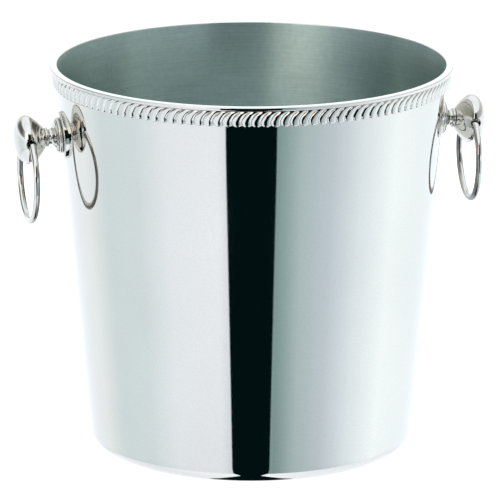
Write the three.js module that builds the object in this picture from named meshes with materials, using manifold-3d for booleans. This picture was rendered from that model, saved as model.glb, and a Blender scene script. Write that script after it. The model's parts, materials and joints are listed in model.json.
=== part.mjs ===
// Champagne bucket: a tapered metal pail with a rolled rim, a gadroon border under
// the rim, and a knob with a loose drop ring on each side.
// Millimetres, +Z up. The origin is the centre of the base on the resting plane, and
// the two handles lie on the X axis: "left" is -X and "right" is +X.

import * as THREE from 'three';
import { mergeVertices } from 'three/addons/utils/BufferGeometryUtils.js';
import Module from 'manifold-3d';

// ---------------------------------------------------------------- bucket body
const HEIGHT = 204.7;
const BASE_RADIUS = 85.4; // where the cone of the wall would meet the resting plane
const MOUTH_RADIUS = 103; // where the same cone would meet the top plane
const WALL = 1;
const FOOT_FILLET = 7;
const RECESS_DEPTH = 1.5; // pushed-up panel in the middle of the base
const RECESS_RADIUS = 60;

// ------------------------------------------------------------------ rolled rim
const RIM_OUTER_RADIUS = 106;
const RIM_INNER_RADIUS = 102.4;
const RIM_BEAD = 2; // height of the bead
const RIM_ROUNDING = 0.7;

// -------------------------------------------------------------- gadroon border
const LOBES = 134;
const BORDER_TOP = HEIGHT - RIM_BEAD - 0.3;
const BORDER_HEIGHT = 8.4;
const LOBE_FOOT = 103.7; // radii of the lobes' crests, at the foot, the belly and the top
const LOBE_BELLY = 105.1;
const LOBE_TOP = 105.4;
const LOBE_DEPTH = 0.8;
const LOBE_SWEEP = 3.2; // how far the head of a lobe leans along the rim

// --------------------------------------------------------------------- handles
const HANDLE_HEIGHT = 170.5; // where the handle's axis meets the wall
const ROSETTE_RADIUS = 12.6;
const ROSETTE_THICKNESS = 1.8;
const COLLAR_RADIUS = 9.6;
const COLLAR_FRONT = 3.7; // distances along the handle are measured from the wall
const NECK_RADIUS = 4.3;
const KNOB_BACK = 10.4;
const KNOB_EDGE = 17;
const KNOB_WIDEST = 19;
const KNOB_APEX = 26.5;
const KNOB_RADIUS = 13.05;
const RING_HOLE_RADIUS = 2.7;

// ----------------------------------------------------------------- drop rings
const RING_RADIUS = 23.2; // to the middle of the wire
const RING_DROP = 19.3; // from the pivots down to the ring's centre
const WIRE_RADIUS = 1.8;
const BEND_RADIUS = 5; // where the ring's wire turns in towards its pivots
const PIVOT_END = 7; // half the space between the two pivots
const PIVOT_CLEARANCE = 1; // from a pivot's end to the bottom of its hole
const RING_SAG = 0.4; // the pivots lie low in their larger hole
const RING_YAW = { left: 1.9, right: -2.1 }; // degrees, the play of the loose pivots

// -------------------------------------------------------------------- fixings
const SCREW_RADIUS = 2;
const BORE_RADIUS = 2.3;
const SCREW_TIP = 8; // how far the screw reaches into the stem
const STUD_TIP = 14; // how far the stem's stud reaches into the knob
const SEAL_RADIUS = 7;
const WASHER_RADIUS = 6;
const SCREW_HEAD_RADIUS = 4;
const GAP = 0.3; // between pieces that rest on each other

const ROUND_BODY = 48; // facets around the bucket
const ROUND_KNOB = 28; // facets around the knob and the rosette
const ROUND_STEM = 20; // facets around everything smaller

const wallAngle = Math.atan((MOUTH_RADIUS - BASE_RADIUS) / HEIGHT);

function wallRadius(z) {
  return BASE_RADIUS + ((MOUTH_RADIUS - BASE_RADIUS) * z) / HEIGHT;
}

// ------------------------------------------------------------------ materials
function polishedSteel() {
  return new THREE.MeshStandardMaterial({ color: 0xd9dedb, roughness: 0.04, metalness: 1 });
}

function satinSteel() {
  return new THREE.MeshStandardMaterial({ color: 0xb9bdb8, roughness: 0.35, metalness: 1 });
}

function sealRubber() {
  return new THREE.MeshStandardMaterial({ color: 0xcfcfca, roughness: 0.7, metalness: 0 });
}

// ------------------------------------------------------------- geometry tools
// Points (r, z) of an arc, from one angle to another in degrees, ends included.
function arc(centreR, centreZ, radiusR, radiusZ, from, to, steps) {
  const points = [];
  for (let i = 0; i <= steps; i++) {
    const a = THREE.MathUtils.degToRad(from + ((to - from) * i) / steps);
    points.push([centreR + radiusR * Math.cos(a), centreZ + radiusZ * Math.sin(a)]);
  }
  return points;
}

// Turns an outline of (r, z) points about the Z axis. The outline runs with the
// material on its left, and starts and ends on the axis or closes on itself.
function turned(outline, facets, closed = false) {
  const points = outline.map(([r, z]) => new THREE.Vector2(r, z));
  if (closed) points.push(points[0].clone());
  return new THREE.LatheGeometry(points, facets).rotateX(Math.PI / 2);
}

const wasm = await Module();
wasm.setup();

function toSolid(geometry) {
  const bare = geometry.clone();
  bare.deleteAttribute('normal');
  bare.deleteAttribute('uv');
  const merged = mergeVertices(bare, 1e-4);
  const keep = [];
  const index = merged.index.array;
  for (let i = 0; i < index.length; i += 3) {
    const [a, b, c] = [index[i], index[i + 1], index[i + 2]];
    if (a !== b && b !== c && c !== a) keep.push(a, b, c);
  }
  const mesh = new wasm.Mesh({
    numProp: 3,
    vertProperties: new Float32Array(merged.attributes.position.array),
    triVerts: new Uint32Array(keep),
  });
  return new wasm.Manifold(mesh);
}

function toGeometry(solid) {
  const mesh = solid.getMesh();
  const geometry = new THREE.BufferGeometry();
  geometry.setAttribute('position', new THREE.BufferAttribute(new Float32Array(mesh.vertProperties), 3));
  geometry.setIndex(new THREE.BufferAttribute(new Uint32Array(mesh.triVerts), 1));
  geometry.computeVertexNormals();
  return geometry;
}

// Cuts a list of geometries out of another one.
function cut(geometry, tools) {
  let solid = toSolid(geometry);
  for (const tool of tools) solid = solid.subtract(toSolid(tool));
  return toGeometry(solid);
}

function piece(name, geometry, material) {
  const mesh = new THREE.Mesh(geometry, material);
  mesh.name = name;
  return mesh;
}

// ------------------------------------------------------------ frames in space
// The handle's frame: +Z points out of the wall along the handle, +X points down.
function handleFrame(side) {
  const frame = new THREE.Group();
  frame.position.set(wallRadius(HANDLE_HEIGHT), 0, HANDLE_HEIGHT);
  frame.rotation.y = Math.PI / 2 + wallAngle;
  const turn = new THREE.Group();
  turn.rotation.z = side === 'left' ? Math.PI : 0;
  turn.add(frame);
  turn.updateMatrixWorld(true);
  return { turn, frame };
}

// ---------------------------------------------------------------- bucket body
function bucketOutline() {
  const footCentre = wallRadius(FOOT_FILLET) - FOOT_FILLET;
  const innerFoot = FOOT_FILLET - WALL;
  const beadBottom = HEIGHT - RIM_BEAD;
  const beadOuter = RIM_OUTER_RADIUS - RIM_ROUNDING;
  const beadInner = RIM_INNER_RADIUS + RIM_ROUNDING;
  return [
    [0, RECESS_DEPTH],
    [RECESS_RADIUS, RECESS_DEPTH],
    [RECESS_RADIUS + 2 * RECESS_DEPTH, 0],
    ...arc(footCentre, FOOT_FILLET, FOOT_FILLET, FOOT_FILLET, -90, 0, 4),
    [wallRadius(beadBottom), beadBottom],
    ...arc(beadOuter, beadBottom + RIM_ROUNDING, RIM_ROUNDING, RIM_ROUNDING, -90, 0, 2),
    ...arc(beadOuter, HEIGHT - RIM_ROUNDING, RIM_ROUNDING, RIM_ROUNDING, 0, 90, 2),
    ...arc(beadInner, HEIGHT - RIM_ROUNDING, RIM_ROUNDING, RIM_ROUNDING, 90, 180, 2),
    [wallRadius(beadBottom) - WALL, beadBottom],
    ...arc(footCentre, FOOT_FILLET, innerFoot, innerFoot, 0, -90, 3),
    [RECESS_RADIUS + 2 * RECESS_DEPTH, WALL],
    [RECESS_RADIUS, RECESS_DEPTH + WALL],
    [0, RECESS_DEPTH + WALL],
  ];
}

// A plain rod along the handle's axis, used to drill the screw's way.
function screwDrill(side) {
  const { frame } = handleFrame(side);
  const reach = 6;
  const rod = new THREE.CylinderGeometry(BORE_RADIUS, BORE_RADIUS, 2 * reach, ROUND_STEM);
  rod.rotateX(Math.PI / 2);
  return rod.applyMatrix4(frame.matrixWorld);
}

function bucketBody() {
  const shell = turned(bucketOutline(), ROUND_BODY);
  return piece('bucket_body', cut(shell, [screwDrill('left'), screwDrill('right')]), polishedSteel());
}

// -------------------------------------------------------------- gadroon border
// A closed band of leaning lobes. Each row is a ring of points that zigzags between
// the crest of a lobe and the groove beside it.
function gadroonBorder() {
  const bottom = BORDER_TOP - BORDER_HEIGHT;
  const inner = (z) => wallRadius(z) + GAP;
  const scallop = 1; // the grooves end this much higher than the lobes do
  const back = bottom + scallop;
  const belly = bottom + 2 * scallop;
  const rows = [
    { z: back, lift: 0, crest: inner(back), depth: 0, lean: 0 },
    { z: bottom, lift: scallop, crest: LOBE_FOOT, depth: LOBE_DEPTH / 2, lean: 0 },
    { z: belly, lift: 0, crest: LOBE_BELLY, depth: LOBE_DEPTH, lean: 0 },
    { z: BORDER_TOP, lift: 0, crest: LOBE_TOP, depth: LOBE_DEPTH, lean: LOBE_SWEEP },
    { z: BORDER_TOP, lift: 0, crest: inner(BORDER_TOP), depth: 0, lean: LOBE_SWEEP },
  ];
  const count = 2 * LOBES;
  const positions = [];
  for (const row of rows) {
    for (let i = 0; i < count; i++) {
      const groove = i % 2 === 1;
      const radius = row.crest - (groove ? row.depth : 0);
      const angle = (Math.PI * i) / LOBES + row.lean / RIM_OUTER_RADIUS;
      const z = row.z + (groove ? row.lift : 0);
      positions.push(radius * Math.cos(angle), radius * Math.sin(angle), z);
    }
  }
  const index = [];
  for (let j = 0; j < rows.length; j++) {
    const next = (j + 1) % rows.length;
    for (let i = 0; i < count; i++) {
      const k = (i + 1) % count;
      const [a, b] = [j * count + i, j * count + k];
      const [c, d] = [next * count + k, next * count + i];
      index.push(a, b, c, a, c, d);
    }
  }
  const geometry = new THREE.BufferGeometry();
  geometry.setAttribute('position', new THREE.Float32BufferAttribute(positions, 3));
  geometry.setIndex(index);
  geometry.computeVertexNormals();
  return piece('gadroon_border', geometry, polishedSteel());
}

// -------------------------------------------------------- pieces of the handle
// The wall as a solid cone, a gap larger all round, seen from the handle's frame.
function wallInHandleFrame(side) {
  const { frame } = handleFrame(side);
  const reach = 40;
  const low = HANDLE_HEIGHT - reach;
  const high = HANDLE_HEIGHT + reach;
  const outline = [
    [0, low],
    [wallRadius(low) + GAP, low],
    [wallRadius(high) + GAP, high],
    [0, high],
  ];
  return turned(outline, 4 * ROUND_BODY).applyMatrix4(frame.matrixWorld.clone().invert());
}

// The turned disc against the wall, its back hollowed to sit on the bucket.
function rosette(side) {
  const tuck = 1.5; // the blank reaches this far into the wall before it is cut
  const edge = 0.7;
  const outline = [
    [BORE_RADIUS, -tuck],
    [ROSETTE_RADIUS, -tuck],
    ...arc(ROSETTE_RADIUS - edge, ROSETTE_THICKNESS - edge, edge, edge, 0, 90, 2),
    [BORE_RADIUS, ROSETTE_THICKNESS],
  ];
  const blank = turned(outline, ROUND_KNOB, true);
  return piece(`rosette_${side}`, cut(blank, [wallInHandleFrame(side)]), polishedSteel());
}

// The smaller rounded cushion on the rosette.
function collar(side) {
  const back = ROSETTE_THICKNESS + GAP;
  const half = (COLLAR_FRONT - back) / 2;
  const outline = [
    [BORE_RADIUS, back],
    ...arc(COLLAR_RADIUS - half, back + half, half, half, -90, 90, 4),
    [BORE_RADIUS, COLLAR_FRONT],
  ];
  return piece(`collar_${side}`, turned(outline, ROUND_KNOB, true), polishedSteel());
}

// The stem: a bell that narrows to the neck, a bead, and a stud for the knob.
function stem(side) {
  const back = COLLAR_FRONT + GAP;
  const bellRadius = 9;
  const neckStart = 6.8;
  const beadRadius = 0.9;
  const beadMiddle = KNOB_BACK - GAP - beadRadius;
  const outline = [
    [0, SCREW_TIP + GAP],
    [BORE_RADIUS, SCREW_TIP + GAP],
    [BORE_RADIUS, back],
    [bellRadius, back],
    ...arc(bellRadius, neckStart, bellRadius - NECK_RADIUS, neckStart - back - GAP, 270, 180, 4),
    [NECK_RADIUS, beadMiddle - beadRadius],
    ...arc(NECK_RADIUS + GAP, beadMiddle, beadRadius, beadRadius, -90, 90, 4),
    [SCREW_RADIUS, KNOB_BACK - GAP],
    [SCREW_RADIUS, STUD_TIP],
    [0, STUD_TIP],
  ];
  return piece(`stem_${side}`, turned(outline, ROUND_STEM), polishedSteel());
}

// The mushroom knob: a swelling back, a full edge, a domed front, a blind hole on
// each side for the ring's pivots and a blind bore for the stem's stud.
function knob(side) {
  const backRadius = 5.6;
  const outline = [
    [0, STUD_TIP + GAP],
    [BORE_RADIUS, STUD_TIP + GAP],
    [BORE_RADIUS, KNOB_BACK],
    [backRadius, KNOB_BACK],
    [8.7, 13],
    [11, 15.2],
    [12.3, KNOB_EDGE],
    ...arc(0, KNOB_WIDEST, KNOB_RADIUS, KNOB_APEX - KNOB_WIDEST, 0, 90, 8),
  ];
  const depth = KNOB_RADIUS - PIVOT_END + PIVOT_CLEARANCE;
  const holes = [-1, 1].map((way) => {
    const hole = new THREE.CylinderGeometry(RING_HOLE_RADIUS, RING_HOLE_RADIUS, 2 * depth, ROUND_STEM);
    return hole.translate(0, way * KNOB_RADIUS, KNOB_WIDEST);
  });
  return piece(`knob_${side}`, cut(turned(outline, ROUND_KNOB), holes), polishedSteel());
}

// Rubber seal, metal washer and screw, stacked inwards from the inner wall.
function innerFixings(side) {
  const sealThickness = 1;
  const washerThickness = 0.8;
  const headHeight = 1.8;
  const slotWidth = 1;
  const slotDepth = 0.8;
  const sealFront = -WALL - 2 * GAP; // clears the curve of the inner wall
  const sealBack = sealFront - sealThickness;
  const washerFront = sealBack - GAP;
  const washerBack = washerFront - washerThickness;
  const headFront = washerBack - GAP;
  const seal = turned([
    [BORE_RADIUS, sealBack],
    [SEAL_RADIUS, sealBack],
    [SEAL_RADIUS, sealFront],
    [BORE_RADIUS, sealFront],
  ], ROUND_STEM, true);
  const washer = turned([
    [BORE_RADIUS, washerBack],
    [WASHER_RADIUS, washerBack],
    [WASHER_RADIUS, washerFront],
    [BORE_RADIUS, washerFront],
  ], ROUND_STEM, true);
  const screw = turned([
    ...arc(0, headFront, SCREW_HEAD_RADIUS, headHeight, -90, 0, 4),
    [SCREW_RADIUS, headFront],
    [SCREW_RADIUS, SCREW_TIP],
    [0, SCREW_TIP],
  ], ROUND_STEM);
  const slot = new THREE.BoxGeometry(3 * SCREW_HEAD_RADIUS, slotWidth, 2 * slotDepth);
  slot.translate(0, 0, headFront - headHeight);
  return [
    piece(`seal_${side}`, seal, sealRubber()),
    piece(`washer_${side}`, washer, satinSteel()),
    piece(`screw_${side}`, cut(screw, [slot]), satinSteel()),
  ];
}

// ----------------------------------------------------------------- drop rings
// An arc in the ring's own plane: x across and y up, angles in radians.
class FlatArc extends THREE.Curve {
  constructor(centreX, centreY, radius, from, to) {
    super();
    Object.assign(this, { centreX, centreY, radius, from, to });
  }

  getPoint(t, target = new THREE.Vector3()) {
    const a = this.from + (this.to - this.from) * t;
    const x = this.centreX + this.radius * Math.cos(a);
    const y = this.centreY + this.radius * Math.sin(a);
    return target.set(x, y, 0);
  }
}

// The middle line of the ring's wire, with the pivots' axis at y = 0. The two ends
// bend in from the ring and lie along that axis.
function ringPath() {
  const top = Math.PI / 2;
  const bendX = Math.sqrt((RING_RADIUS - BEND_RADIUS) ** 2 - (RING_DROP - BEND_RADIUS) ** 2);
  const join = Math.atan2(RING_DROP - BEND_RADIUS, bendX);
  const path = new THREE.CurvePath();
  path.add(new THREE.LineCurve3(new THREE.Vector3(PIVOT_END, 0, 0), new THREE.Vector3(bendX, 0, 0)));
  path.add(new FlatArc(bendX, -BEND_RADIUS, BEND_RADIUS, top, join));
  path.add(new FlatArc(0, -RING_DROP, RING_RADIUS, join, -Math.PI - join));
  path.add(new FlatArc(-bendX, -BEND_RADIUS, BEND_RADIUS, Math.PI - join, top));
  path.add(new THREE.LineCurve3(new THREE.Vector3(-bendX, 0, 0), new THREE.Vector3(-PIVOT_END, 0, 0)));
  return path;
}

// A round wire swept along the ring's path.
function ringGeometry() {
  const sides = 8;
  const steps = 46;
  const section = [];
  for (let i = 0; i < sides; i++) {
    const a = (2 * Math.PI * (i + 0.5)) / sides;
    section.push(new THREE.Vector2(WIRE_RADIUS * Math.cos(a), WIRE_RADIUS * Math.sin(a)));
  }
  return new THREE.ExtrudeGeometry(new THREE.Shape(section), { steps, extrudePath: ringPath() });
}

// The ring hangs plumb from the knob, so only its place comes from the handle.
function ring(side) {
  const { frame } = handleFrame(side);
  const pivot = new THREE.Vector3(0, 0, KNOB_WIDEST).applyMatrix4(frame.matrixWorld);
  const mesh = piece(`ring_${side}`, ringGeometry(), polishedSteel());
  const outward = side === 'left' ? -1 : 1;
  mesh.geometry.rotateX(Math.PI / 2);
  mesh.geometry.rotateZ((outward * Math.PI) / 2);
  mesh.rotation.z = THREE.MathUtils.degToRad(RING_YAW[side]);
  mesh.position.set(pivot.x, pivot.y, pivot.z - RING_SAG);
  return mesh;
}

// ------------------------------------------------------------------- assembly
const bucket = new THREE.Group();
bucket.add(bucketBody(), gadroonBorder());
for (const side of ['left', 'right']) {
  const { turn, frame } = handleFrame(side);
  frame.add(rosette(side), collar(side), stem(side), knob(side), ...innerFixings(side));
  bucket.add(turn, ring(side));
}

export default bucket;
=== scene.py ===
"""Champagne bucket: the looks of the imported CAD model, in metres, +Z up.

Every turned part is built again as a smooth, dense solid of revolution, because
polished metal shows every facet of the CAD solids in its reflections.
"""
import json
import math

import bmesh
import bpy
import numpy as np
from mathutils import Matrix, Vector


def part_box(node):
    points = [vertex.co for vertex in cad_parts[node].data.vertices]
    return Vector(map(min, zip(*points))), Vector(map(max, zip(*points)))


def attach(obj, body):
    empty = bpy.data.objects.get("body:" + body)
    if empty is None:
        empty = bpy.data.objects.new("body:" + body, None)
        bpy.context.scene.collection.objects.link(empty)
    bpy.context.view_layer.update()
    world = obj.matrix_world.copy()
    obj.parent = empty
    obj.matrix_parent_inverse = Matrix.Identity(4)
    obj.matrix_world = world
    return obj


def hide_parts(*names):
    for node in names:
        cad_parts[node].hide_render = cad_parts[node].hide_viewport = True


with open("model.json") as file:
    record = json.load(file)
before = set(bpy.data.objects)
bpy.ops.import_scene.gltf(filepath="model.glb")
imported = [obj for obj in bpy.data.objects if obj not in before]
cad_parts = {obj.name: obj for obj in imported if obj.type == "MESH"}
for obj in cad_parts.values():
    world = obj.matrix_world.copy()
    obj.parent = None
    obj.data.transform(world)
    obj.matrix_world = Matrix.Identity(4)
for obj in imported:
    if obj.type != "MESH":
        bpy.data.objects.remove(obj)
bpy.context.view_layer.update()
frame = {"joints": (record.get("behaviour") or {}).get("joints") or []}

MM = 0.001

# ------------------------------------------------------------ sizes, millimetres
body_low, body_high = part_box("bucket_body")
HEIGHT = body_high.z / MM
RIM_OUTER = body_high.x / MM
RIM_BEAD = 2.0  # height of the bead round the mouth
RIM_ROUNDING = 0.6
LIP_ROUNDING = 0.5
BASE_RADIUS = 85.4  # the wall's line, carried down to the table
MOUTH_RADIUS = 103.0  # and up to the rim
WALL = 1.0
FOOT_FILLET = 7.0
RECESS_DEPTH = 1.5
RECESS_RADIUS = 60.0
RECESS_SLOPE = 3.0  # width of the slope round the recessed panel
WALL_ANGLE = math.atan((MOUTH_RADIUS - BASE_RADIUS) / HEIGHT)

BORDER_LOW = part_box("gadroon_border")[0].z / MM
BORDER_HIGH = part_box("gadroon_border")[1].z / MM
LOBES = 134
LOBE_HEIGHT = 0.75  # from the groove to the crest
LOBE_SWEEP = 4.6  # how far a lobe's top lies to one side of its foot
LOBE_HOOK = 0.35  # how far its lower half bows the other way
LOBE_CAP = 0.13  # the rounded foot's share of the lobe's length
CREST_LOW = 104.5  # the crests' radius at the foot
CREST_HIGH = 105.35  # and at the top
SKIN = 0.02  # gap between the wall and what is fixed to it

# Fronts, backs and ends along a handle are distances out of the wall.
HANDLE_HEIGHT = 170.5
ROSETTE_RADIUS = 12.6
ROSETTE_FRONT = 1.8
COLLAR_RADIUS = 9.6
COLLAR_FRONT = 3.9
NECK_RADIUS = 4.3
STUD_END = 14.0
KNOB_BACK = 10.3
KNOB_WIDEST = 19.0
KNOB_APEX = 26.45
KNOB_RADIUS = 13.05
DOME_FULLNESS = 2.15  # the dome's superellipse; 2 is a plain ellipse
HOLE_RADIUS = 2.65
HOLE_CHAMFER = 0.3
HOLE_FLOOR = 6.1  # from the knob's axis to the bottom of a hole
HOLE_MOUTH = 12.7  # and to its mouth

RING_RADIUS = 23.2
RING_DROP = 19.3
WIRE_RADIUS = 1.8
BEND_RADIUS = 5.0
PIVOT_END = 7.0
RING_YAW = {"left": 1.9, "right": -2.1}  # degrees by which the rings hang askew

SCREW_RADIUS = 2.0
SCREW_END = 8.0
SCREW_HEAD = 4.0
SLOT_WIDTH = 1.0
SLOT_DEPTH = 0.8
WASHER_RADIUS = 6.0
SEAL_RADIUS = 7.0
SEAL_FRONT = -1.55
SEAL_BACK = -2.65
WASHER_BACK = -3.6
HEAD_HEIGHT = 1.8

# ---------------------------------------------------------------- the view, metres
VIEW_TURN = math.radians(12.2)  # the left handle is turned this far to the camera
VIEW_DISTANCE = 2.0
VIEW_HEIGHT = 0.646843
VIEW_PITCH = math.radians(15.222)
VIEW_PAN = math.radians(-0.019)
VIEW_ROLL = math.radians(0.092)
VIEW_LENS = 281.1


def wall_radius(z):
    """The outer wall's radius at a height."""
    return BASE_RADIUS + (MOUTH_RADIUS - BASE_RADIUS) * z / HEIGHT


# ---------------------------------------------------------------------- meshes
def make_object(name, points, faces, place=Matrix.Identity(4), sharp=30):
    """A mesh object from points in millimetres, smooth but for its sharp edges."""
    mesh = bpy.data.meshes.new(name)
    mesh.from_pydata(np.asarray(points).tolist(), [], faces)
    mesh.transform(place @ Matrix.Scale(MM, 4))
    mesh.validate()
    mesh.shade_smooth()
    mesh.set_sharp_from_angle(angle=math.radians(sharp))
    made = bpy.data.objects.new(name, mesh)
    bpy.context.scene.collection.objects.link(made)
    return made


def arc(centre, radii, start, end, steps):
    """Points (r, z) of an elliptical arc between two angles in degrees."""
    turns = np.radians(np.linspace(start, end, steps + 1))
    return [
        (centre[0] + radii[0] * math.cos(a), centre[1] + radii[1] * math.sin(a))
        for a in turns
    ]


def line(start, end, steps):
    """Points (r, z) from start to end, both included."""
    return [
        (start[0] + (end[0] - start[0]) * t, start[1] + (end[1] - start[1]) * t)
        for t in np.linspace(0, 1, steps + 1)
    ]


def smooth_curve(knots, steps):
    """A Catmull-Rom curve through the (r, z) knots."""
    k = np.array([2 * np.array(knots[0]) - knots[1], *knots, 2 * np.array(knots[-1]) - knots[-2]])
    points = []
    for i in range(1, len(k) - 2):
        for t in np.linspace(0, 1, steps, endpoint=False):
            points.append(
                tuple(
                    0.5
                    * (
                        2 * k[i]
                        + (k[i + 1] - k[i - 1]) * t
                        + (2 * k[i - 1] - 5 * k[i] + 4 * k[i + 1] - k[i + 2]) * t**2
                        + (3 * k[i] - k[i - 1] - 3 * k[i + 1] + k[i + 2]) * t**3
                    )
                )
            )
    return points + [tuple(k[-2])]


def tidy_outline(outline):
    """The outline without points that repeat the one before."""
    kept = [outline[0]]
    for p in outline[1:]:
        if math.dist(p, kept[-1]) > 1e-4:
            kept.append(p)
    return kept


def turned(name, outline, facets, place=Matrix.Identity(4), closed=False, sharp=30):
    """A solid of revolution about Z. The outline has the material on its left. It
    starts and ends on the axis, or is closed and clear of it."""
    outline = tidy_outline(outline)
    points, rows = [], []
    for r, z in outline:
        if r < 1e-6:
            rows.append([len(points)] * facets)
            points.append((0, 0, z))
            continue
        rows.append(list(range(len(points), len(points) + facets)))
        for i in range(facets):
            a = 2 * math.pi * i / facets
            points.append((r * math.cos(a), r * math.sin(a), z))
    faces = []
    spans = list(zip(rows, rows[1:] + ([rows[0]] if closed else [])))
    for low, high in spans:
        for i in range(facets):
            k = (i + 1) % facets
            corners = [low[i], low[k], high[k], high[i]]
            faces.append(list(dict.fromkeys(corners)))
    return make_object(name, points, faces, place, sharp)


def cut(piece, cutter, sharp=30):
    """Cuts one object out of another for good, and removes the cutter."""
    step = piece.modifiers.new("cut", "BOOLEAN")
    step.operation = "DIFFERENCE"
    step.solver = "EXACT"
    step.object = cutter
    view = bpy.context.evaluated_depsgraph_get()
    mesh = bpy.data.meshes.new_from_object(piece.evaluated_get(view), depsgraph=view)
    piece.modifiers.clear()
    piece.data = mesh
    bpy.data.objects.remove(cutter)
    mesh.shade_smooth()
    mesh.set_sharp_from_angle(angle=math.radians(sharp))
    return piece


# ------------------------------------------------------------------ bucket body
def make_bucket():
    foot_z = FOOT_FILLET
    foot_r = wall_radius(foot_z) - FOOT_FILLET / math.cos(WALL_ANGLE)
    tilt = math.degrees(WALL_ANGLE)
    inside_fillet = FOOT_FILLET - WALL
    bead_low = HEIGHT - RIM_BEAD
    outer_r = RIM_OUTER - RIM_ROUNDING
    lip_z = HEIGHT - RIM_ROUNDING
    recess = [
        (RECESS_RADIUS + RECESS_SLOPE * t, RECESS_DEPTH * (1 + math.cos(math.pi * t)) / 2)
        for t in np.linspace(0, 1, 13)
    ]
    outside = [
        (0, RECESS_DEPTH),
        *line((1, RECESS_DEPTH), (RECESS_RADIUS - 1, RECESS_DEPTH), 12),
        *recess,
        *line((RECESS_RADIUS + RECESS_SLOPE + 1, 0), (foot_r - 0.5, 0), 6),
        *arc((foot_r, foot_z), (FOOT_FILLET, FOOT_FILLET), -90, -tilt, 24),
    ]
    wall_start = outside[-1]
    wall_end = (wall_radius(bead_low - 0.3), bead_low - 0.3)
    lip_inside = wall_radius(HEIGHT - LIP_ROUNDING) - WALL
    lip_centre = (lip_inside + LIP_ROUNDING, HEIGHT - LIP_ROUNDING)
    outside += line(wall_start, wall_end, 90)[1:]
    outside += [
        *arc((wall_end[0] + 0.4, wall_end[1]), (0.4, 0.3), 180, 90, 4),
        *arc((outer_r, bead_low + RIM_ROUNDING), (RIM_ROUNDING, RIM_ROUNDING), -90, 0, 10),
        *arc((outer_r, lip_z), (RIM_ROUNDING, RIM_ROUNDING), 0, 90, 10),
        *line((outer_r - 0.2, HEIGHT), (lip_centre[0] + 0.2, HEIGHT), 4),
        *arc(lip_centre, (LIP_ROUNDING, LIP_ROUNDING), 90, 180, 8),
    ]
    polished_bands = len(tidy_outline(outside)) - 1
    floor_arc = arc((foot_r, foot_z), (inside_fillet, inside_fillet), -tilt, -90, 16)
    inside = line((lip_inside, lip_centre[1]), floor_arc[0], 92)[1:]
    inside += floor_arc
    inside += [
        *line((foot_r - 1, WALL), (RECESS_RADIUS + RECESS_SLOPE + 1, WALL), 5),
        *((r, z + WALL) for r, z in reversed(recess)),
        *line((RECESS_RADIUS - 1, RECESS_DEPTH + WALL), (1, RECESS_DEPTH + WALL), 12),
        (0, RECESS_DEPTH + WALL),
    ]
    facets = 384
    bucket = turned("bucket", outside + inside, facets, sharp=25)
    for polygon in bucket.data.polygons:
        polygon.material_index = 1 if polygon.index >= polished_bands * facets else 0
    return bucket


# --------------------------------------------------------------- gadroon border
def make_border():
    """A band of fat, S-shaped lobes. The mesh's columns run along the lobes."""
    per_lobe, rows = 16, 34
    columns = LOBES * per_lobe
    heights = np.linspace(0, 1, rows + 1) ** 1.25
    across = (np.arange(columns) % per_lobe) / per_lobe * 2 - 1
    angles = 2 * np.pi * np.arange(columns) / columns
    points = []

    def add_row(radius, z, shift):
        a = angles + shift / RIM_OUTER
        z = np.broadcast_to(z, a.shape)
        radius = np.broadcast_to(radius, a.shape)
        points.append(np.stack([radius * np.cos(a), radius * np.sin(a), z], -1))

    def sweep(v):
        """How far a lobe has moved round the bucket at a share of its length."""
        bow = 0.6
        hook = LOBE_HOOK * math.sin(math.pi * v / bow) ** 2 if v < bow else 0
        return LOBE_SWEEP * v**3.5 - hook

    span = BORDER_HIGH - BORDER_LOW
    back = wall_radius(BORDER_LOW) + SKIN
    add_row(back, BORDER_LOW + 0.08 * span * np.abs(across) ** 2, 0)
    for v in heights:
        # Full at the foot and narrower on top, and lifted at the foot's corners.
        crest = 1 - np.abs(across) ** (3.3 - 1.1 * v)
        corner = 0.11 * np.abs(across) ** 2.2
        rise = np.clip((v * (1 - corner) + 0.001) / LOBE_CAP, 0, 1)
        cap = np.sqrt(1 - (1 - rise) ** 2)
        top_start = 0.84
        relief = 1 - 0.7 * max(0, (v - top_start) / (1 - top_start)) ** 1.5
        z = BORDER_LOW + span * (v + corner * (1 - v) ** 3)
        wall = wall_radius(z) + 0.05
        groove = CREST_LOW + (CREST_HIGH - CREST_LOW) * v - LOBE_HEIGHT
        groove += (1 - relief) * LOBE_HEIGHT * 0.45
        radius = wall + (groove - wall) * cap + LOBE_HEIGHT * relief * crest * cap
        add_row(radius, z, sweep(v))
    add_row(wall_radius(BORDER_HIGH) + SKIN, BORDER_HIGH, sweep(1))
    faces = []
    count = len(points)
    for j in range(count):
        up = (j + 1) % count
        for i in range(columns):
            k = (i + 1) % columns
            faces.append((j * columns + i, j * columns + k, up * columns + k, up * columns + i))
    return make_object("gadroon", np.concatenate(points), faces, sharp=50)


# --------------------------------------------------------------------- handles
def handle_place(side):
    """The handle's frame: +Z out of the wall along the handle, and +X down."""
    place = Matrix.Translation((wall_radius(HANDLE_HEIGHT), 0, HANDLE_HEIGHT))
    place = place @ Matrix.Rotation(math.pi / 2 + WALL_ANGLE, 4, "Y")
    if side == "left":
        place = Matrix.Rotation(math.pi, 4, "Z") @ place
    return Matrix.Scale(MM, 4) @ place @ Matrix.Scale(1 / MM, 4)


def wall_behind(x, y):
    """How far the wall lies from a handle frame's XY plane, along its Z axis."""
    place = handle_place("right")
    depth = 0.0
    for _ in range(6):
        p = (place @ (Vector((x, y, depth)) * MM)) / MM
        depth -= math.hypot(p.x, p.y) - wall_radius(p.z)
    return depth


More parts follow.
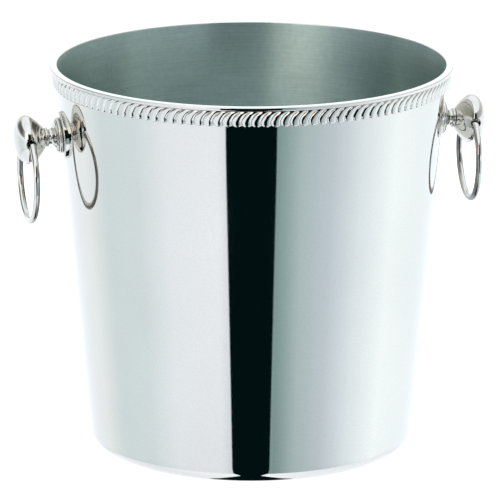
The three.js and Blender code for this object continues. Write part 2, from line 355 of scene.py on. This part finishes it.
def make_rosette(side):
    """The turned disc on the wall. Its back follows the wall."""
    facets = 128
    edge = 0.7
    front = [
        *line((0.5, ROSETTE_FRONT), (COLLAR_RADIUS - 0.5, ROSETTE_FRONT), 6),
        *line((COLLAR_RADIUS, ROSETTE_FRONT), (ROSETTE_RADIUS - edge - 0.1, ROSETTE_FRONT), 5),
        *arc((ROSETTE_RADIUS - edge, ROSETTE_FRONT - edge), (edge, edge), 90, 0, 10),
    ]
    points, faces = [(0, 0, ROSETTE_FRONT)], []
    for r, z in front:
        for i in range(facets):
            a = 2 * math.pi * i / facets
            points.append((r * math.cos(a), r * math.sin(a), z))
    back_radii = [ROSETTE_RADIUS, 9.0, 6.0, 3.0]
    for r in back_radii:
        for i in range(facets):
            x = r * math.cos(2 * math.pi * i / facets)
            y = r * math.sin(2 * math.pi * i / facets)
            points.append((x, y, wall_behind(x, y) + SKIN))
    points.append((0, 0, SKIN))
    rings = len(front) + len(back_radii)
    for i in range(facets):
        k = (i + 1) % facets
        faces.append((0, 1 + i, 1 + k))
        for j in range(rings - 1):
            a, b = 1 + j * facets, 1 + (j + 1) * facets
            faces.append((a + i, b + i, b + k, a + k))
        last = 1 + (rings - 1) * facets
        faces.append((last + i, len(points) - 1, last + k))
    return make_object(f"rosette_disc_{side}", points, faces, handle_place(side), 35)


def make_collar(side):
    """A rounded cushion on the rosette."""
    half = (COLLAR_FRONT - ROSETTE_FRONT) / 2
    middle = ROSETTE_FRONT + half
    outline = [
        (0, ROSETTE_FRONT),
        *line((1, ROSETTE_FRONT), (COLLAR_RADIUS - half - 0.2, ROSETTE_FRONT), 5),
        *arc((COLLAR_RADIUS - half, middle), (half, half), -90, 90, 24),
        *line((COLLAR_RADIUS - half - 0.2, COLLAR_FRONT), (1, COLLAR_FRONT), 5),
        (0, COLLAR_FRONT),
    ]
    return turned(f"cushion_{side}", outline, 128, handle_place(side))


def make_stem(side):
    """A bell that narrows to the neck, and a bead against the knob."""
    bell = [(8.9, 4.35), (8.0, 4.9), (6.2, 5.5), (4.95, 6.2), (NECK_RADIUS, 7.2), (4.3, 8.1)]
    bead = 0.95
    middle = KNOB_BACK - bead - 0.05
    outline = [
        (0, COLLAR_FRONT),
        *line((1, COLLAR_FRONT), (8.5, COLLAR_FRONT), 6),
        *arc((8.6, COLLAR_FRONT + 0.3), (0.3, 0.3), -90, 40, 5),
        *smooth_curve(bell, 8),
        *arc((NECK_RADIUS + 0.1, middle), (bead, bead), -85, 85, 16),
        (SCREW_RADIUS, KNOB_BACK),
        (SCREW_RADIUS, STUD_END),
        (0, STUD_END),
    ]
    return turned(f"stem_bell_{side}", outline, 128, handle_place(side))


def make_knob(side):
    """The mushroom knob, with a blind hole on each side for the ring."""
    power = 2 / DOME_FULLNESS
    dome = []
    for a in np.radians(np.linspace(0, 90, 49)):
        r = KNOB_RADIUS * math.cos(a) ** power
        z = KNOB_WIDEST + (KNOB_APEX - KNOB_WIDEST) * math.sin(a) ** power
        dome.append((r if a < math.pi / 2 - 1e-9 else 0, z))
    swell = [(5.6, KNOB_BACK + 0.1), (7.4, 11.8), (9.2, 13.3), (11.05, 15.2)]
    shoulder = [(12.25, 16.75), (12.9, 18.0), (KNOB_RADIUS, KNOB_WIDEST)]
    outline = [
        (0, KNOB_BACK),
        *line((1, KNOB_BACK), (5.4, KNOB_BACK), 4),
        *smooth_curve(swell + shoulder, 8),
        *dome,
    ]
    place = handle_place(side)
    knob = turned(f"knob_dome_{side}", outline, 192, place, sharp=28)
    reach = 20.0  # well outside the knob
    chamfer_start = HOLE_MOUTH - HOLE_CHAMFER
    drill = [
        (0, HOLE_FLOOR),
        (HOLE_RADIUS, HOLE_FLOOR),
        (HOLE_RADIUS, chamfer_start),
        (HOLE_RADIUS + reach - chamfer_start, reach),
        (0, reach),
    ]
    middle = Matrix.Translation((0, 0, KNOB_WIDEST * MM))
    for way in (-1, 1):
        turn = middle @ Matrix.Rotation(way * math.pi / 2, 4, "X")
        knob = cut(knob, turned("drill", drill, 96, place @ turn), sharp=28)
    return knob


def make_fixings(side):
    """Seal, washer and slotted screw, stacked inwards from the inner wall."""
    place = handle_place(side)
    round_edge = 0.25
    hole = SCREW_RADIUS + 0.05

    def disc(name, radius, back, front):
        outline = [
            (hole, back),
            *line((hole + 0.3, back), (radius - round_edge - 0.1, back), 4),
            *arc((radius - round_edge, back + round_edge), (round_edge, round_edge), -90, 0, 6),
            *arc((radius - round_edge, front - round_edge), (round_edge, round_edge), 0, 90, 6),
            *line((radius - round_edge - 0.1, front), (hole + 0.3, front), 4),
            (hole, front),
        ]
        return turned(f"{name}_{side}", outline, 96, place, closed=True)

    seal = disc("seal_ring", SEAL_RADIUS, SEAL_BACK, SEAL_FRONT)
    washer = disc("washer_ring", WASHER_RADIUS, WASHER_BACK, SEAL_BACK)
    rim = 0.4
    chamfer = 0.15
    dome = arc((0, WASHER_BACK - rim), (SCREW_HEAD, HEAD_HEIGHT - rim), -90, 0, 20)
    dome[0] = (0, WASHER_BACK - HEAD_HEIGHT)
    outline = [
        *dome,
        (SCREW_HEAD, WASHER_BACK - chamfer),
        (SCREW_HEAD - chamfer, WASHER_BACK),
        (SCREW_RADIUS, WASHER_BACK),
        (SCREW_RADIUS, SCREW_END - 0.4),
        (SCREW_RADIUS - 0.5, SCREW_END),
        (0, SCREW_END),
    ]
    screw = turned(f"slot_screw_{side}", outline, 96, place)
    slot = bmesh.new()
    bmesh.ops.create_cube(slot, size=1)
    slot_mesh = bpy.data.meshes.new("slot")
    slot.to_mesh(slot_mesh)
    slot.free()
    size = Matrix.Diagonal((3 * SCREW_HEAD * MM, SLOT_WIDTH * MM, 2 * SLOT_DEPTH * MM, 1))
    middle = Matrix.Translation((0, 0, (WASHER_BACK - HEAD_HEIGHT) * MM))
    slot_mesh.transform(place @ middle @ size)
    cutter = bpy.data.objects.new("slot", slot_mesh)
    bpy.context.scene.collection.objects.link(cutter)
    return seal, washer, cut(screw, cutter)


def make_ring(side):
    """A bent round wire whose two ends lie along the pivots' axis."""
    sides = 40
    reach = RING_RADIUS - BEND_RADIUS
    bend_x = math.sqrt(reach**2 - (RING_DROP - BEND_RADIUS) ** 2)
    join = math.atan2(RING_DROP - BEND_RADIUS, bend_x)
    path = []

    def add_arc(cx, cy, radius, start, end, steps):
        for a in np.linspace(start, end, steps, endpoint=False):
            normal = (math.cos(a), math.sin(a))
            path.append((cx + radius * normal[0], cy + radius * normal[1], *normal))

    top = math.pi / 2
    for x in np.linspace(PIVOT_END, bend_x, 6, endpoint=False):
        path.append((x, 0, 0, 1))
    add_arc(bend_x, -BEND_RADIUS, BEND_RADIUS, top, join, 20)
    add_arc(0, -RING_DROP, RING_RADIUS, join, -math.pi - join, 256)
    add_arc(-bend_x, -BEND_RADIUS, BEND_RADIUS, math.pi - join, top, 20)
    for x in np.linspace(-bend_x, -PIVOT_END, 7):
        path.append((x, 0, 0, 1))
    points, faces = [], []
    for x, y, nx, ny in path:
        for i in range(sides):
            a = 2 * math.pi * i / sides
            out, aside = WIRE_RADIUS * math.cos(a), WIRE_RADIUS * math.sin(a)
            points.append((x + nx * out, y + ny * out, aside))
    for j in range(len(path) - 1):
        for i in range(sides):
            k = (i + 1) % sides
            a, b = j * sides, (j + 1) * sides
            faces.append((a + i, a + k, b + k, b + i))
    faces.append(tuple(reversed(range(sides))))
    last = (len(path) - 1) * sides
    faces.append(tuple(range(last, last + sides)))
    joint = next(j for j in frame["joints"] if j["name"] == f"ring_{side}_swing")
    outward = -1 if side == "left" else 1
    place = Matrix.Translation(joint["pos_m"])
    place = place @ Matrix.Rotation(math.radians(RING_YAW[side]), 4, "Z")
    place = place @ Matrix.Rotation(outward * math.pi / 2, 4, "Z")
    place = place @ Matrix.Rotation(math.pi / 2, 4, "X")
    return make_object(f"drop_ring_wire_{side}", points, faces, place, 40)


# ------------------------------------------------------------------- materials
# The polished metal's reflectance. It is on the low side, so that what is mirrored
# twice or more, as round the handles, goes dark and warm.
POLISH = (0.66, 0.645, 0.595)
POLISH_SPREAD = 0.05  # and how far its tint wanders to either side
RING_SHADE = 0.3  # how bright the rings' inner faces stay: painted shade on the faces turned to the bucket


class Tree:
    """A short way to build a node tree."""

    def __init__(self, tree):
        self.tree = tree
        self.tree.nodes.clear()

    def add(self, kind, inputs=None, **settings):
        node = self.tree.nodes.new("ShaderNode" + kind)
        for name, value in settings.items():
            setattr(node, name, value)
        for name, value in (inputs or {}).items():
            if isinstance(value, bpy.types.NodeSocket):
                self.tree.links.new(value, node.inputs[name])
            else:
                node.inputs[name].default_value = value
        return node

    def math(self, operation, a, b=0.0):
        return self.add("Math", {0: a, 1: b}, operation=operation).outputs[0]

    def remap(self, value, low, high, to_low, to_high):
        ends = {"From Min": low, "From Max": high, "To Min": to_low, "To Max": to_high}
        return self.add("MapRange", {"Value": value, **ends}).outputs["Result"]

    def ramp(self, value, stops):
        node = self.add("ValToRGB", {"Fac": value})
        elements = node.color_ramp.elements
        while len(elements) > 1:
            elements.remove(elements[-1])
        elements[0].position = stops[0][0]
        elements[0].color = (*stops[0][1], 1)
        for position, colour in stops[1:]:
            elements.new(position).color = (*colour, 1)
        return node.outputs["Color"]


def new_material(name):
    material = bpy.data.materials.new(name)
    material.use_nodes = True
    return material, Tree(material.node_tree)


def polished_metal(name="polished_metal", inward_shade=1.0):
    """Mirror polish with faint clouding, hairlines and a little wear. Faces turned to
    the bucket's axis keep only a given share of the tint, as painted shade on that side."""
    material, t = new_material(name)
    coordinates = t.add("TexCoord")
    where = coordinates.outputs["Object"]
    clouds = t.add("TexNoise", {"Vector": where, "Scale": 14.0, "Detail": 3.0}).outputs["Fac"]
    squeeze = t.add("Mapping", {"Vector": where, "Scale": (1.0, 1.0, 14.0)}).outputs["Vector"]
    hairs = t.add("TexNoise", {"Vector": squeeze, "Scale": 420.0, "Detail": 2.0}).outputs["Fac"]
    specks = t.add("TexNoise", {"Vector": where, "Scale": 1500.0, "Detail": 2.0}).outputs["Fac"]
    mixed = t.math("ADD", t.math("MULTIPLY", clouds, 0.4), t.math("MULTIPLY", specks, 0.6))
    dim = [(1 - POLISH_SPREAD) * c for c in POLISH]
    bright = [(1 + POLISH_SPREAD) * c for c in POLISH]
    tint = t.ramp(mixed, [(0.3, dim), (0.7, bright)])
    if inward_shade < 1:
        # Negative on faces turned to the axis, by up to their distance from it. There the tint is
        # darkened as painted shade.
        normal = coordinates.outputs["Normal"]
        outward = t.add("VectorMath", {0: where, 1: normal}, operation="DOT_PRODUCT")
        lit_share = t.remap(outward.outputs["Value"], -0.10, 0.03, inward_shade, 1.0)
        tint = t.add("VectorMath", {0: tint, 1: lit_share}, operation="MULTIPLY").outputs[0]
    haze = t.remap(clouds, 0.3, 0.75, 0.018, 0.04)
    scuff = t.remap(hairs, 0.55, 0.8, 0.0, 0.03)
    rough = t.math("ADD", haze, scuff)
    bump = t.add("Bump", {"Height": hairs, "Strength": 0.01, "Distance": 0.0002})
    shader = t.add(
        "BsdfPrincipled",
        {
            "Base Color": tint,
            "Metallic": 1.0,
            "Roughness": rough,
            "Normal": bump.outputs["Normal"],
        },
    )
    t.add("OutputMaterial", {"Surface": shader.outputs["BSDF"]})
    return material


def satin_metal():
    """Satin brushed around the axis: reflections smear up and down only."""
    material, t = new_material("satin_metal")
    where = t.add("TexCoord").outputs["Object"]
    split = t.add("SeparateXYZ", {"Vector": where})
    x, y, z = split.outputs
    angle = t.math("ARCTAN2", y, x)
    radius = t.math("SQRT", t.math("ADD", t.math("MULTIPLY", x, x), t.math("MULTIPLY", y, y)))
    along = t.math("MULTIPLY", angle, 0.35)
    down = t.math("ADD", t.math("MULTIPLY", z, 160.0), t.math("MULTIPLY", radius, 160.0))
    grain_at = t.add("CombineXYZ", {0: along, 1: down, 2: 0.0}).outputs[0]
    grain = t.add("TexNoise", {"Vector": grain_at, "Scale": 9.0, "Detail": 6.0}).outputs["Fac"]
    clouds = t.add("TexNoise", {"Vector": where, "Scale": 30.0, "Detail": 4.0}).outputs["Fac"]
    flecks = t.add("TexNoise", {"Vector": where, "Scale": 420.0, "Detail": 3.0}).outputs["Fac"]
    mottle = t.math("ADD", t.math("MULTIPLY", clouds, 0.5), t.math("MULTIPLY", flecks, 0.5))
    mixed = t.math("ADD", t.math("MULTIPLY", grain, 0.5), t.math("MULTIPLY", mottle, 0.5))
    tint = t.ramp(mixed, [(0.35, (0.435, 0.545, 0.515)), (0.65, (0.585, 0.705, 0.665))])
    rough = t.remap(grain, 0.3, 0.7, 0.32, 0.42)
    bump = t.add("Bump", {"Height": grain, "Strength": 0.08, "Distance": 0.0002})
    tangent = t.add("Tangent", direction_type="RADIAL", axis="Z").outputs[0]
    shader = t.add(
        "BsdfPrincipled",
        {
            "Base Color": tint,
            "Metallic": 1.0,
            "Roughness": rough,
            "Anisotropic": 0.85,
            "Anisotropic Rotation": 0.25,
            "Tangent": tangent,
            "Normal": bump.outputs["Normal"],
        },
    )
    t.add("OutputMaterial", {"Surface": shader.outputs["BSDF"]})
    return material


def fixing_metal():
    """Plain turned steel for the screw and washer."""
    material, t = new_material("turned_steel")
    where = t.add("TexCoord").outputs["Object"]
    grain = t.add("TexNoise", {"Vector": where, "Scale": 1500.0, "Detail": 3.0}).outputs["Fac"]
    tint = t.ramp(grain, [(0.3, (0.56, 0.58, 0.57)), (0.7, (0.72, 0.74, 0.73))])
    rough = t.remap(grain, 0.3, 0.7, 0.22, 0.38)
    bump = t.add("Bump", {"Height": grain, "Strength": 0.15, "Distance": 0.0001})
    shader = t.add(
        "BsdfPrincipled",
        {
            "Base Color": tint,
            "Metallic": 1.0,
            "Roughness": rough,
            "Normal": bump.outputs["Normal"],
        },
    )
    t.add("OutputMaterial", {"Surface": shader.outputs["BSDF"]})
    return material


def silicone():
    """Matte, milky white rubber with a fine moulded grain."""
    material, t = new_material("seal_rubber")
    where = t.add("TexCoord").outputs["Object"]
    grain = t.add("TexNoise", {"Vector": where, "Scale": 2200.0, "Detail": 4.0}).outputs["Fac"]
    clouds = t.add("TexNoise", {"Vector": where, "Scale": 160.0, "Detail": 2.0}).outputs["Fac"]
    tint = t.ramp(clouds, [(0.3, (0.50, 0.50, 0.47)), (0.7, (0.62, 0.62, 0.59))])
    rough = t.remap(grain, 0.3, 0.7, 0.55, 0.75)
    bump = t.add("Bump", {"Height": grain, "Strength": 0.3, "Distance": 0.0001})
    shader = t.add(
        "BsdfPrincipled",
        {
            "Base Color": tint,
            "Roughness": rough,
            "Subsurface Weight": 0.15,
            "Subsurface Scale": 0.001,
            "Normal": bump.outputs["Normal"],
        },
    )
    t.add("OutputMaterial", {"Surface": shader.outputs["BSDF"]})
    return material


# ----------------------------------------------------------------------- studio
# What the polished metal shows of the soft boxes round the object, by bearing from
# the camera in degrees, positive to the camera's right.
BEARINGS = [
    (-180, (0.80, 0.84, 0.85)),
    (-150, (0.80, 0.84, 0.85)),
    (-125, (0.82, 0.84, 0.84)),
    (-102, (0.65, 0.73, 0.73)),
    (-75, (0.67, 0.745, 0.755)),
    (-53, (0.81, 0.85, 0.875)),
    (-21, (0.84, 0.875, 0.90)),
    (16, (0.215, 0.32, 0.31)),
    (21, (0.27, 0.38, 0.37)),
    (31, (0.42, 0.51, 0.51)),
    (51, (0.535, 0.605, 0.65)),
    (73, (0.755, 0.825, 0.84)),
    (99, (0.945, 1.0, 1.0)),
    (140, (0.86, 0.91, 0.91)),
    (180, (0.80, 0.84, 0.85)),
]
# The boxes just above the horizon, which the inside of the bucket shows.
UPPER_BEARINGS = [
    (-180, (1.00, 1.02, 1.02)),
    (-142, (0.95, 0.97, 0.97)),
    (-122, (0.18, 0.18, 0.18)),
    (-84, (0.15, 0.15, 0.15)),
    (-66, (0.36, 0.36, 0.36)),
    (-52, (0.72, 0.72, 0.70)),
    (-40, (1.85, 1.70, 1.58)),
    (-14, (1.85, 1.70, 1.58)),
    (-11.5, (0.01, 0.01, 0.01)),
    (25, (0.01, 0.01, 0.01)),
    (29, (0.32, 0.35, 0.35)),
    (47, (0.46, 0.49, 0.49)),
    (66, (0.56, 0.59, 0.59)),
    (90, (0.62, 0.66, 0.66)),
    (120, (0.75, 0.80, 0.80)),
    (142, (0.95, 0.97, 0.97)),
    (180, (1.00, 1.02, 1.02)),
]
# The other boxes, as the polished metal shows them.
PLAIN_BEARINGS = [
    (-180, (0.92, 0.93, 0.94)),
    (-90, (0.80, 0.84, 0.86)),
    (-20, (0.94, 0.96, 0.97)),
    (20, (0.94, 0.96, 0.97)),
    (60, (0.85, 0.89, 0.90)),
    (180, (0.92, 0.93, 0.94)),
]
# Unit heights between which each set of boxes fades in, and out again.
WALL_BAND = (-0.58, -0.53, -0.08, -0.03)
UPPER_BAND = (0.07, 0.19, 0.55, 0.65)
# The foot of the wall shows the low edge of its boxes, which is a little dimmer.
LOW_EDGE = (-0.475, -0.43)
LOW_EDGE_DIMMING = 0.925
# A small box opposite the camera, which the flat top of the rim shows.
RIM_BOX_HEIGHT = math.radians(15.2)
RIM_BOX_REACH = math.radians(6)
RIM_BOX_COLOUR = (0.86, 0.92, 0.98)
LAMP = 1.6
SLANT = 1.07  # polished metal seen at a slant mirrors this much more
# Half the width of the dark gap around the camera, by the height of a unit vector. Below -0.766
# it widens into a painted shadow: the table's shade under the bucket, as the foot's fillet
# mirrors it.
GAP_WIDTHS = [
    (-1.0, 0.19),
    (-0.966, 0.19),
    (-0.766, 0.10),
    (-0.485, 0.20),
    (-0.391, 0.245),
    (-0.33, 0.245),
    (-0.30, 0.29),
    (-0.12, 0.29),
    (0.0, 0.42),
    (0.17, 0.42),
    (0.20, 0.0),
    (1.0, 0.0),
]
GAP_COLOUR = (0.0005, 0.005, 0.006)
SHADOW_FOOT = -0.906  # below this height the gap goes on behind the bucket too, as the same painted shadow
DOME_RADIUS = 14
FLOOR_REACH = 9.0
FLOOR_GLOW = 0.93


def make_studio():
    """A far dome of soft light with a dark gap where the camera stands. Low down the gap is a
    painted shadow of the table under the bucket.
    """
    material, t = new_material("studio_light")
    where = t.add("TexCoord").outputs["Object"]
    turn = t.add("VectorRotate", {"Vector": where, "Axis": (0, 0, 1), "Angle": VIEW_TURN})
    unit = t.add("VectorMath", {0: turn.outputs[0]}, operation="NORMALIZE").outputs[0]
    x, y, z = t.add("SeparateXYZ", {"Vector": unit}).outputs
    bearing = t.math("ARCTAN2", x, t.math("MULTIPLY", y, -1.0))
    share = t.remap(bearing, -math.pi, math.pi, 0.0, 1.0)

    def boxes(bearings, shown):
        """Boxes whose light is given as the metal shows it, or as it is."""
        metal = [p * SLANT for p in POLISH] if shown else (1, 1, 1)
        stops = []
        for b, tone in bearings:
            stops.append(((b + 180) / 360, [c / m / LAMP for c, m in zip(tone, metal)]))
        return t.ramp(share, stops)

    def band(low, low_end, high_start, high):
        """How much of a set of boxes shows at this height."""
        rise = t.remap(z, low, low_end, 0.0, 1.0)
        fall = t.remap(z, high_start, high, 1.0, 0.0)
        return t.math("MULTIPLY", rise, fall)

    def blend(factor, a, b):
        mix = t.add("Mix", {0: factor, 6: a, 7: b}, data_type="RGBA")
        return mix.outputs[2]

    height = t.remap(z, -1.0, 1.0, 0.0, 1.0)
    width = t.ramp(height, [((h + 1) / 2, (w, w, w)) for h, w in GAP_WIDTHS])
    inside = t.math("LESS_THAN", t.math("ABSOLUTE", x), width)
    near = t.math("LESS_THAN", y, 0.0)
    # Painted shadow: low down the gap reaches round behind the bucket.
    shadow_below = t.math("LESS_THAN", z, SHADOW_FOOT)
    gap = t.math("MULTIPLY", inside, t.math("MAXIMUM", near, shadow_below))
    dimming = t.remap(z, *LOW_EDGE, LOW_EDGE_DIMMING, 1.0)
    wall_boxes = t.add("VectorMath", {0: boxes(BEARINGS, True), 1: dimming}, operation="MULTIPLY")
    wall_light = wall_boxes.outputs[0]
    colour = blend(band(*WALL_BAND), boxes(PLAIN_BEARINGS, True), wall_light)
    colour = blend(band(*UPPER_BAND), colour, boxes(UPPER_BEARINGS, False))
    middle = (0, math.cos(RIM_BOX_HEIGHT), math.sin(RIM_BOX_HEIGHT))
    toward = t.add("VectorMath", {0: unit, 1: middle}, operation="DOT_PRODUCT").outputs["Value"]
    edge = math.cos(RIM_BOX_REACH)
    softness = 0.002
    rim_box = t.remap(toward, edge - softness, edge + softness, 0.0, 1.0)
    colour = blend(rim_box, colour, (*RIM_BOX_COLOUR, 1))
    colour = blend(gap, colour, (*GAP_COLOUR, 1))
    light = t.add("Emission", {"Color": colour, "Strength": LAMP})
    t.add("OutputMaterial", {"Surface": light.outputs[0]})
    material.cycles.emission_sampling = "NONE"

    dome_mesh = bpy.data.meshes.new("studio_dome")
    shape = bmesh.new()
    bmesh.ops.create_uvsphere(shape, u_segments=96, v_segments=48, radius=DOME_RADIUS)
    shape.to_mesh(dome_mesh)
    shape.free()
    dome_mesh.shade_smooth()
    dome_mesh.materials.append(material)
    dome = bpy.data.objects.new("studio_dome", dome_mesh)
    bpy.context.scene.collection.objects.link(dome)
    dome.visible_camera = False


def make_floor():
    """A plain pale floor that only the camera sees, open from below."""
    material, t = new_material("studio_floor")
    paint = t.add("BsdfDiffuse", {"Color": (0.8, 0.8, 0.8, 1)})
    glow = t.add("Emission", {"Color": (1, 1, 1, 1), "Strength": FLOOR_GLOW})
    lit = t.add("AddShader", {0: paint.outputs[0], 1: glow.outputs[0]})
    clear = t.add("BsdfTransparent")
    below = t.add("NewGeometry").outputs["Backfacing"]
    mixed = t.add("MixShader", {0: below, 1: lit.outputs[0], 2: clear.outputs[0]})
    t.add("OutputMaterial", {"Surface": mixed.outputs[0]})
    material.cycles.emission_sampling = "NONE"
    half = FLOOR_REACH
    mesh = bpy.data.meshes.new("studio_floor")
    corners = [(-half, -half, 0), (half, -half, 0), (half, half, 0), (-half, half, 0)]
    mesh.from_pydata(corners, [], [(0, 1, 2, 3)])
    mesh.materials.append(material)
    floor = bpy.data.objects.new("studio_floor", mesh)
    bpy.context.scene.collection.objects.link(floor)
    floor.visible_glossy = False
    floor.visible_diffuse = False
    floor.visible_shadow = False


def make_world():
    world = bpy.data.worlds.new("studio_world")
    world.use_nodes = True
    t = Tree(world.node_tree)
    light = t.add("Background", {"Color": (1, 1, 1, 1), "Strength": 1.0})
    t.add("OutputWorld", {"Surface": light.outputs[0]})
    bpy.context.scene.world = world


def make_camera():
    data = bpy.data.cameras.new("view")
    data.lens = VIEW_LENS
    data.sensor_width = 36
    data.clip_start = 0.05
    data.clip_end = 60
    camera = bpy.data.objects.new("view", data)
    bpy.context.scene.collection.objects.link(camera)
    place = Matrix.Rotation(-VIEW_TURN, 4, "Z")
    place = place @ Matrix.Translation((0, -VIEW_DISTANCE, VIEW_HEIGHT))
    place = place @ Matrix.Rotation(-VIEW_PAN, 4, "Z")
    place = place @ Matrix.Rotation(math.pi / 2 - VIEW_PITCH, 4, "X")
    place = place @ Matrix.Rotation(VIEW_ROLL, 4, "Z")
    camera.matrix_world = place
    bpy.context.scene.camera = camera


# --------------------------------------------------------------------- assembly
def fit(piece, materials, slot, body, *nodes):
    """Gives a piece its materials and its body, and hides the CAD nodes it stands for."""
    for material in materials:
        piece.data.materials.append(material)
    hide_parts(*nodes)
    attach(piece, body)


polished = polished_metal()
# The rings' metal, with painted shade on the faces turned to the bucket.
ring_shaded_metal = polished_metal("ring_metal", RING_SHADE)
satin = satin_metal()
steel = fixing_metal()
rubber = silicone()

fit(make_bucket(), [polished, satin], "polished_metal", "bucket", "bucket_body")
fit(make_border(), [polished], "polished_metal", "bucket", "gadroon_border")
for side in ("left", "right"):
    fit(make_rosette(side), [polished], "polished_metal", "bucket", f"rosette_{side}")
    fit(make_collar(side), [polished], "polished_metal", "bucket", f"collar_{side}")
    fit(make_stem(side), [polished], "polished_metal", "bucket", f"stem_{side}")
    fit(make_knob(side), [polished], "polished_metal", "bucket", f"knob_{side}")
    fit(make_ring(side), [ring_shaded_metal], "polished_metal", f"drop_ring_{side}", f"ring_{side}")
    seal, washer, screw = make_fixings(side)
    fit(seal, [rubber], "seal_rubber", "bucket", f"seal_{side}")
    fit(washer, [steel], "satin_metal", "bucket", f"washer_{side}")
    fit(screw, [steel], "satin_metal", "bucket", f"screw_{side}")

make_studio()
make_floor()
make_world()
make_camera()
bpy.context.scene.view_settings.view_transform = "Standard"
